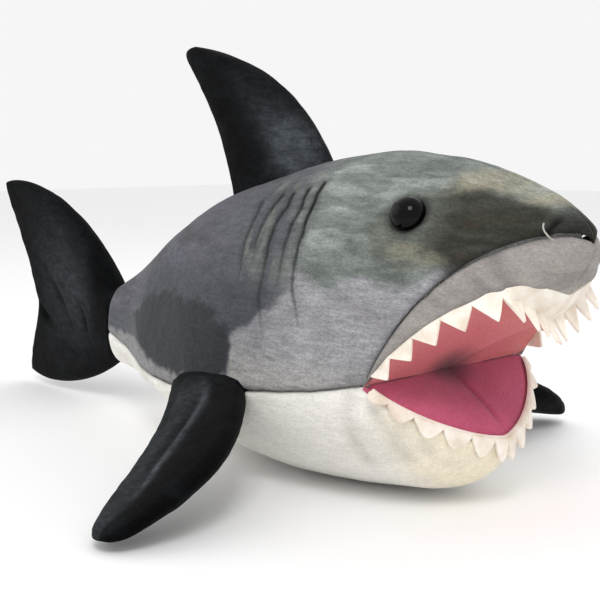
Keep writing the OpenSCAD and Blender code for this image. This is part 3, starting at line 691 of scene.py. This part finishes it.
def tooth_row(name, count, ends, spot, length, fullness=0.92):
    """A strip of felt teeth. spot gives the point at phi and at a share of the tooth's drop."""
    half = (ends[1] - ends[0]) / count / 2
    shares = (-strip_top, -0.12, -0.08, -0.04, 0, 0.12, 0.26, 0.42, 0.58, 0.74, 0.88, 1)
    a = np.linspace(-1, 1, 11)
    verts, faces = [], []
    for k in range(count):
        mid = ends[0] + half * (2 * k + 1)
        drop = length * (0.45 + 0.55 * np.sin(np.radians(mid)))
        lean = 0.2 * half * wool(np.array([k * 1.7, 3.0, 0]), 1.0, 91)
        for i, b in enumerate(shares):
            width = 1.0 if b <= 0 else (1 - b) ** fullness + 0.02
            first = len(verts)
            verts += spot(mid + a * half * width + lean * max(b, 0), b, drop, k, a).tolist()
            if i:
                faces += [(q - len(a), q - len(a) + 1, q + 1, q) for q in range(first, first + len(a) - 1)]
    mesh = bpy.data.meshes.new(name)
    mesh.from_pydata(((np.array(verts) + mouth) / 1000).tolist(), [], faces)
    strip = put(name, mesh)
    apply(strip, "Weld", "WELD", merge_threshold=0.00012)
    apply(strip, "Felt", "SOLIDIFY", thickness=0.0017, offset=0)
    apply(strip, "Soft edge", "BEVEL", width=0.0004, segments=2, limit_method="ANGLE", angle_limit=0.9)
    smooth(strip)
    strip.data.materials.append(cream_felt)
    return strip


def upper_spot(phi, b, drop, k, a):
    angle = lip_angle(phi)
    if b < 0:
        share = -b / strip_top
        up = mix(angle, lip_edge(phi) + 1.2, share)
        return head_point(up, phi, 1.5 + 0.9 * share + 0.25 * wool(head_point(up, phi), 9, 94))
    p = head_point(angle, phi, 1.5 - 0.3 * np.clip(b, 0, 1))
    turn = np.radians(angle)
    bend = 1.3 * wool(np.array([k * 2.3, 1.0, 0.0]), 1.0, 92) * max(b, 0) ** 2
    fall = -b * drop
    out = p * (1, 0.6, 1)
    out = out / np.maximum(np.linalg.norm(out, axis=-1, keepdims=True), 1e-6)
    cup = 0.5 * (a**2)[:, None] * (1 - max(b, 0))
    return p + np.stack([-np.sin(turn), 0 * turn, np.cos(turn)], -1) * fall + out * (bend + cup)


def lower_spot(phi, b, drop, k, a):
    curl = 1.6 + 3.4 * max(b, 0) ** 1.5 * (1 + 0.5 * wool(np.array([k * 1.9, 5.0, 0.0]), 1.0, 93))
    if b < 0:
        edge = jaw_point(np.full(phi.shape, float(floor_angle)), phi, 2.2 + 12 * b)
        return edge + 1.2 * np.array([np.sin(down), 0, np.cos(down)])
    angle = floor_angle - 1.2 + np.degrees(b * drop / floor_reach)
    return jaw_point(np.full(phi.shape, angle), phi, -curl + 1.0 * np.exp(-b / 0.08))


upper = tooth_row("upper_teeth_felt", 19, (6, 174), upper_spot, 14.0)
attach(upper, "torso")
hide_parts("upper_teeth")
lower = tooth_row("lower_teeth_felt", 12, (9, 171), lower_spot, 8.0, 0.62)
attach(lower, "lower_jaw")
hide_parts("lower_teeth")

# ---- Eyes ----
# Each eye is one black polished plastic dome on a post. The post goes through the plush
# and a lock washer pushed on it from inside holds the eye.


def plastic(name, colour, rough, swirl=0.03, shine=0.5):
    """Injection-moulded plastic, with faint swirls 8 mm across in its colour and gloss."""
    m, t, shader = material(name, Specular_IOR_Level=shine)
    cloud = clouded(t, shader, dye(colour) * 0.8, np.minimum(dye(colour) * 1.25, 1), Scale=120.0, Detail=4.0)
    gloss = add(t, "ShaderNodeMapRange", (-3, -1), Value=cloud.outputs["Fac"], To_Min=rough,
        To_Max=rough + swirl)
    feed(shader, Roughness=gloss.outputs["Result"])
    return m


def eye_seat(side, lift):
    """Where the eye stands on the head, lift mm above the plush, and its outward direction, in metres."""
    spot = head_point(eye_angle, eye_phi)
    n = np.cross(head_point(eye_angle + 1, eye_phi) - spot, head_point(eye_angle, eye_phi + 1) - spot)
    n = n / np.linalg.norm(n) * (1 if n[1] > 0 else -1)
    spot = spot + n * lift
    if side == "right":
        spot, n = spot * (1, -1, 1), n * (1, -1, 1)
    return Vector((spot + mouth) / 1000), Vector(n)


black_plastic = plastic("Black eye plastic", "#010101", 0.04, shine=0.14)
dome_r, dome_rise, post_len = 0.0096, 0.86, 0.0095
for side in ("left", "right"):
    centre, out = eye_seat(side, -0.8)
    bpy.ops.object.select_all(action="DESELECT")
    bpy.ops.mesh.primitive_uv_sphere_add(segments=64, ring_count=32, radius=dome_r, location=(0, 0, 0))
    eye = bpy.context.object
    eye.name = eye.data.name = "eye_dome_" + side
    bpy.ops.object.mode_set(mode="EDIT")
    bpy.ops.mesh.select_all(action="SELECT")
    bpy.ops.mesh.bisect(plane_co=(0, 0, 0), plane_no=(0, 0, 1), clear_inner=True)
    bpy.ops.mesh.select_all(action="SELECT")
    bpy.ops.transform.resize(value=(1, 1, dome_rise))
    bpy.ops.mesh.select_all(action="DESELECT")
    bpy.ops.mesh.select_mode(type="EDGE")
    bpy.ops.mesh.select_non_manifold()
    # the dome's rim, its flat back, the post and the post's chamfer
    bpy.ops.mesh.extrude_region_move(TRANSFORM_OT_translate={"value": (0, 0, -0.0006)})
    bpy.ops.mesh.extrude_region_move(TRANSFORM_OT_translate={"value": (0, 0, -0.0002)})
    bpy.ops.transform.resize(value=(0.94, 0.94, 1))
    bpy.ops.mesh.extrude_region_move(TRANSFORM_OT_translate={"value": (0, 0, 0)})
    bpy.ops.transform.resize(value=(0.3, 0.3, 1))
    bpy.ops.mesh.extrude_region_move(TRANSFORM_OT_translate={"value": (0, 0, -post_len)})
    bpy.ops.mesh.extrude_region_move(TRANSFORM_OT_translate={"value": (0, 0, -0.0008)})
    bpy.ops.transform.resize(value=(0.7, 0.7, 1))
    bpy.ops.mesh.edge_face_add()
    bpy.ops.mesh.select_all(action="SELECT")
    bpy.ops.mesh.normals_make_consistent(inside=False)
    bpy.ops.object.mode_set(mode="OBJECT")
    eye.rotation_euler = out.to_track_quat("Z", "Y").to_euler()
    eye.location = centre
    bpy.ops.object.transform_apply(location=True, rotation=True, scale=True)
    bpy.ops.object.shade_smooth_by_angle(angle=0.7)
    eye.data.materials.append(black_plastic)
    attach(eye, "torso")
    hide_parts("eye_" + side)

# ---- Washers and stuffing ----
# Nobody sees these parts: two moulded lock washers on the eyes' posts, and polyester
# fibre that fills the trunk, the jaw and every fin.
washer_plastic = plastic("White washer plastic", "#e8e8e2", 0.35, swirl=0.1)
fibre, t, shader = material("Polyester fibre fill", Roughness=0.9, Sheen_Weight=0.5)
curl = clouded(t, shader, dye("#d8d8d2"), dye("#fbfbf8"), Scale=160.0, Detail=8.0, Distortion=2.5)
bump = add(t, "ShaderNodeBump", (-2, -1), Strength=1.0, Distance=0.002, Height=curl.outputs["Fac"])
feed(shader, Normal=bump.outputs["Normal"])
for name, node in frame["nodes"].items():
    finish = fibre if "stuffing" in name else washer_plastic if "washer" in name else None
    if finish:
        node.data.materials.clear()
        node.data.materials.append(finish)

# ---- Fins ----
# Each fin is two skins of black fleece, sewn together round the edge, turned and stuffed
# flat. The open root is sewn onto the body.
fleece_black = fleece("Black fleece", mottle=0.35, streak=0.45, sheen=0.03, shine=0.05, brushed=(126, 312, 336))
# Half thickness of a fin's sewn edge, and the nap that stands above it, in mm
seam_half, nap = 2.4, 0.25
# Rows that carry a fin's root into the body, and the shares that draw in and close its end
root_rows, root_shares = 10, (0.0, 0.3, 0.6, 0.85)


def bezier(a, b, c, s):
    a, b, c = (np.asarray(q, float) for q in (a, b, c))
    return (1 - s) ** 2 * a + 2 * s * (1 - s) * b + s**2 * c


def pillow(u, power):
    return np.maximum(0, 1 - np.abs(2 * u - 1) ** power) ** 0.6


def blunt(u, v, much):
    """Rounds the two outer corners of a fin's pattern."""
    corner = np.abs(2 * u - 1) ** 5 * v**7
    return 0.5 + (u - 0.5) * (1 - much * corner), v * (1 - 0.55 * much * corner)


def fin_point(lead, trail, bow, u, v):
    a = np.stack([bezier(lead[0][k], lead[1][k], lead[2][k], v) for k in (0, 1)], -1)
    b = np.stack([bezier(trail[0][k], trail[1][k], trail[2][k], v) for k in (0, 1)], -1)
    p = mix(b, a, u[..., None])
    p[..., 1] += bow * v**4 * (1 - (2 * u - 1) ** 2)
    return p


def both_faces(g, lift=0):
    """Values of one face of a fin, carried round to the other face and over the rows that close its root."""
    g = np.concatenate([g, g[:, ::-1][:, 1:-1]], 1)
    return np.concatenate([g[:1] + lift] * len(root_shares) + [g])


def closed_fin(name, flat, half, place, painted_highlight_share, nodes, seed, folds=()):
    """Fin piece from a grid of flat points and half thicknesses. place puts [along, side, out] on the toy."""
    face = np.stack([flat[..., 0], 0 * half, flat[..., 1]], -1)
    from_lead, from_root = travel(flat, 1), travel(flat, 0)
    d_edge = np.minimum(np.minimum(from_lead, from_lead[:, -1:] - from_lead), from_root[-1:] - from_root)
    s = np.clip(1 - d_edge / 5.5, 0, 1)
    half = half * np.sqrt(np.maximum(1 - s**2, 0))
    tuck = 0 * half
    for points, width, deep in folds:
        d, share = line_gap(face, points)
        tuck = np.maximum(tuck, deep * np.exp(-(d / width) ** 2) * np.sin(np.pi * np.clip(share, 0.12, 0.88)))
    half = np.maximum(half - tuck, 0.4 * half)
    ruck = 0.5 * wool(face, 6, seed + 3) * np.exp(-d_edge / 5)
    thin = np.minimum(half, 1)
    half_r = np.maximum(half + thin * (0.7 * fluff(face, 20, seed) + ruck), 0)
    half_l = np.maximum(half + thin * (0.7 * fluff(face + (0, 40, 0), 20, seed) - ruck), 0)
    wave = 0.9 * wool(face, 26, seed + 5) * step(4, 30, from_root) * np.exp(-d_edge / 16)
    one = np.stack([flat[..., 0], wave + half_r, flat[..., 1]], -1)
    two = np.stack([flat[..., 0], wave - half_l, flat[..., 1]], -1)[:, ::-1][:, 1:-1]
    P = np.concatenate([one, two], 1)
    root = P[:1]
    P = place(np.concatenate([mix(root.mean(1, keepdims=True), root, k) for k in root_shares] + [P]))
    c = np.broadcast_to(dye("#08090a"), P.shape).copy()
    c = over(c, "#131517", 0.6 * step(-0.1, 0.6, fluff(P, (18, 12, 12), seed + 7)))
    # Painted sheen: a lighter grey where the nap catches the light
    c = over(c, "#565b61", 0.75 * both_faces(painted_highlight_share) * (0.7 + 0.3 * fluff(P, (10, 10, 6), seed + 8)))
    # Painted shade along the sewn edge, where the cloth rolls into the seam, and in the folds
    dark = 0.4 * np.exp(-both_faces(d_edge, 9) / 1.3) + 0.25 * both_faces(tuck)
    c = c * np.clip(1 - dark, 0.1, 1)[..., None]
    fin = skin_piece(name, P, c, wrap=True)
    shell = bmesh.new()
    shell.from_mesh(fin.data)
    bmesh.ops.remove_doubles(shell, verts=shell.verts, dist=0.00005)
    bmesh.ops.recalc_face_normals(shell, faces=shell.faces)
    shell.to_mesh(fin.data)
    shell.free()
    smooth(fin)
    fin.data.materials.append(fleece_black)
    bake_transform(fin)
    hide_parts(*nodes)


def fin_grid(lead, trail, bow, full_t, sink):
    """Flat points and half thicknesses of a fin whose root runs sink mm into the body."""
    rows, cols = 84, 58
    u = closer(cols, 70)[None, :] + np.zeros((rows, 1))
    v = np.linspace(0, 1, rows)[:, None] + 0 * u
    flat = fin_point(lead, trail, bow, *blunt(u, v, 0.16))
    half = (full_t / 2 - seam_half) * pillow(u, 2.4) * np.maximum(0, 1 - v**3) ** 0.7 + seam_half + nap
    deep = np.linspace(1, 0.08, root_rows)[:, None]
    root_x = mix(flat[:1, :, 0].mean(), flat[:1, :, 0], 1 + 0.05 * deep)
    root = np.stack([root_x, -sink * deep + 0 * root_x], -1)
    flat = np.concatenate([root, flat])
    half = np.concatenate([half[:1] + 2.0 * deep**1.5, half])
    return flat, half, np.concatenate([u[:root_rows], u]), np.concatenate([-deep + 0 * u[:root_rows], v])


def turned(P, yaw=0.0, pitch=0.0, rolled=0.0):
    """P turned about X, then Y, then Z, in degrees."""
    for axis, angle in ((0, rolled), (1, pitch), (2, yaw)):
        a = np.radians(angle)
        i, j = [(1, 2), (2, 0), (0, 1)][axis]
        Q = P.copy()
        Q[..., i] = P[..., i] * np.cos(a) - P[..., j] * np.sin(a)
        Q[..., j] = P[..., i] * np.sin(a) + P[..., j] * np.cos(a)
        P = Q
    return P


def metres(point):
    return tuple((np.array(point) + mouth) / 1000)


# Dorsal fin
dorsal_back, dorsal_slope = 176, -13.4
flat, half, u, v = fin_grid([(90, 0), (72, 66), (-10, 101)], [(0, 0), (3.6, 48.4), (-29, 100)], 3.1, 22, 12)
reach = np.stack([flat[..., 1], 0 * half, 0 * half], -1)
flat[..., 0] += 1.2 * wool(reach, 14, 101) * step(0.1, 0.4, v)
# Painted sheen on the dorsal fin, near the front of its base and along its leading edge
painted_sheen = np.exp(-((u - 0.82) / 0.18) ** 2) * np.exp(-((v - 0.12) / 0.16) ** 2)
painted_sheen = painted_sheen + 0.35 * np.exp(-((u - 0.75) / 0.2) ** 2) * step(0.9, 0.2, v)


def on_back(P):
    top = float(along(trunk_keys, dorsal_back / trunk_len, 2)) + 1.2
    return turned(P, pitch=dorsal_slope) + np.array([-dorsal_back, 0, top])


up = turned(np.array([0, 0, 1.0]), pitch=dorsal_slope)
root = on_back(np.array([45.0, 0, 0]))
closed_fin("dorsal_fin_plush", flat, half, on_back, np.clip(painted_sheen, 0, 1),
    ("dorsal_skin_right", "dorsal_skin_left", "dorsal_stuffing"), 110)

# Pectoral fins
flat, half, u, v = fin_grid([(61, 0), (133, 58), (105, 121)], [(-13, 0), (46, 49), (72, 119)], 7.5, 18, 14)
reach = np.stack([flat[..., 1], 0 * half, 0 * half], -1)
flat[..., 0] += 1.8 * wool(reach, 17, 102) * step(0.1, 0.4, v)
# Painted sheen on the pectoral fins: a paler rear half and a brighter strip along the middle
sheen_strip = np.exp(-((u - 0.54 - 0.05 * np.sin(9 * v)) / 0.06) ** 2)
painted_sheen = 0.40 * step(0.64, 0.50, u) * step(-0.05, 0.2, v)
painted_sheen = painted_sheen + 0.6 * sheen_strip * step(-0.05, 0.15, v) * step(0.95, 0.7, v)
pectoral_back = 144
for side in ("left", "right"):
    def beside(P, side=side):
        Q = turned(P * (1, -1, 1), yaw=5, pitch=-8, rolled=-116)
        seam = [float(along(trunk_keys, pectoral_back / trunk_len, k)) for k in (1, 4)]
        Q = Q + np.array([-pectoral_back, seam[0] + 1.0, seam[1] + 0.4])
        # the tip bends softly to lie just above the ground
        Q[..., 2] = -belly + 1.5 + np.logaddexp(0, (Q[..., 2] + belly - 1.5) / 3.0) * 3.0
        return Q * (1, -1, 1) if side == "right" else Q

    root = beside(np.array([30.0, 0, 0]))
    out = beside(np.array([30.0, 0, 1.0])) - root
    closed_fin("pectoral_fin_plush_" + side, flat, half, beside, painted_sheen,
        (f"pectoral_{side}_top_skin", f"pectoral_{side}_under_skin", f"pectoral_{side}_stuffing"),
        120 if side == "left" else 130,
        folds=(([(40, 8), (62, 45), (84, 90)], 3.2, 2.2), ([(10, 6), (28, 30), (52, 52)], 3.5, 1.4)))

# Tail fin
rows, cols = 110, 84
u = closer(cols, 60)[None, :] + np.zeros((rows, 1))
v = np.linspace(0, 1, rows)[:, None] ** 1.1 + 0 * u
cut_u, cut_v = blunt(u, v, 0.07)
fork = 0.36
deep = np.where(cut_u > fork, (np.maximum(cut_u - fork, 0) / (1 - fork)) ** 1.5,
    0.42 * (np.maximum(fork - cut_u, 0) / fork) ** 1.3)
start = np.stack([-trunk_len - 1 - 4 * (2 * cut_u - 1) ** 2, mix(-38, 18, cut_u)], -1)
bend = np.stack([-trunk_len - 52 + 0 * u, mix(-69.3, 95, cut_u)], -1)
end = np.stack([-trunk_len - 168 * mix(0.66, 1, deep), mix(-66, 95, cut_u)], -1)
w = cut_v[..., None]
flat = (1 - w) ** 2 * start + 2 * w * (1 - w) * bend + w**2 * end
flat = start + (flat - start) * (1 + 0.035 * v[..., None])
half = (14 - seam_half) * mix(1, 0.35, v) * np.maximum(0, 1 - v**3) ** 0.6 * pillow(u, 2.6) + seam_half + nap
root = np.linspace(1, 0.1, root_rows)[:, None]
root_flat = np.stack([flat[:1, :, 0] + 9 * root, -10 + (flat[:1, :, 1] + 10) * (1 - 0.10 * root)], -1)
root_half = half[:1] * (1 - 0.14 * root**0.7)
flat, half = np.concatenate([root_flat, flat]), np.concatenate([root_half, half])
u, v = np.concatenate([u[:root_rows], u]), np.concatenate([0 * u[:root_rows], v])
# Painted sheen across the middle of the tail fin
painted_sheen = 0.5 * np.exp(-((u - 0.55) / 0.3) ** 2) * step(0.1, 0.4, v) * step(1, 0.5, v)
closed_fin("tail_fin_plush", flat, half, lambda P: P, painted_sheen,
    ("tail_skin_right", "tail_skin_left", "tail_stuffing"), 140,
    folds=(([(-420, 0), (-402, -14), (-384, -20)], 3.0, 2.6), ([(-398, 26), (-376, 4), (-356, -18)], 3.2, 2.0),
        ([(-352, 8), (-340, -6), (-332, -22)], 2.6, 1.8), ([(-372, -30), (-352, -38), (-336, -34)], 3.0, 1.2)))

# ---- Nostrils ----
# A short pleat is stitched into the fleece on each side of the snout, with a pale thread
# loop standing along its front edge.
thread, t, shader = material("Pale thread", Roughness=0.7)
clouded(t, shader, dye("#8d8b84"), dye("#c9c6bd"), Scale=1500.0, Detail=3.0)
for side in ("left", "right"):
    line = np.array([head_point(np.array(a), np.array(p), -2.9 + 1.6 * e) for a, p, e in
        ((44.5, 69.5, 1), (46, 68.5, 0), (48, 69, -0.4), (49.5, 71, -0.2), (50, 73, 1))])
    if side == "right":
        line = line * (1, -1, 1)
    curve = bpy.data.curves.new("nostril_" + side, "CURVE")
    curve.dimensions, curve.bevel_depth = "3D", 0.00045
    curve.bevel_resolution, curve.resolution_u = 3, 8
    spline = curve.splines.new("BEZIER")
    spline.bezier_points.add(len(line) - 1)
    for i, (point, place) in enumerate(zip(spline.bezier_points, line)):
        point.co = metres(place)
        point.handle_left_type = point.handle_right_type = "AUTO"
        point.radius = 1.0 if 0 < i < len(line) - 1 else 0.5
    curve.use_fill_caps = True
    loop = put("nostril_" + side, curve)
    bpy.ops.object.select_all(action="DESELECT")
    loop.select_set(True)
    bpy.context.view_layer.objects.active = loop
    bpy.ops.object.convert(target="MESH")
    loop = bpy.context.object
    smooth(loop)
    loop.data.materials.append(thread)
    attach(loop, "torso")

# ---- Floor and light ----
# A plain pale floor, one large soft lamp above the camera's side and two weaker ones.
bpy.ops.object.select_all(action="DESELECT")
bpy.ops.mesh.primitive_plane_add(size=8, location=(0, 0, -0.0005))
ground = bpy.context.object
ground.name = "Floor"
paper, _, _ = material("White paper floor", Base_Color=(0.92, 0.92, 0.92, 1), Roughness=0.9)
ground.data.materials.append(paper)
world = bpy.data.worlds.new("Studio")
bpy.context.scene.world = world
world.use_nodes = True
backdrop = world.node_tree.nodes["Background"]
backdrop.inputs["Color"].default_value = (1, 1, 1, 1)
backdrop.inputs["Strength"].default_value = 0.92
for name, place, size, power in (("Key", (0.75, -0.75, 1.25), 0.5, 7),
        ("Fill", (-0.9, -0.9, 0.8), 0.9, 1.5), ("Back", (-0.2, 1.1, 0.9), 0.9, 2)):
    lamp = bpy.data.lights.new(name, "AREA")
    lamp.size, lamp.energy = size, power
    aim(put(name, lamp), place, (0.03, 0, 0.1))
bpy.context.scene.view_settings.view_transform = "Standard"
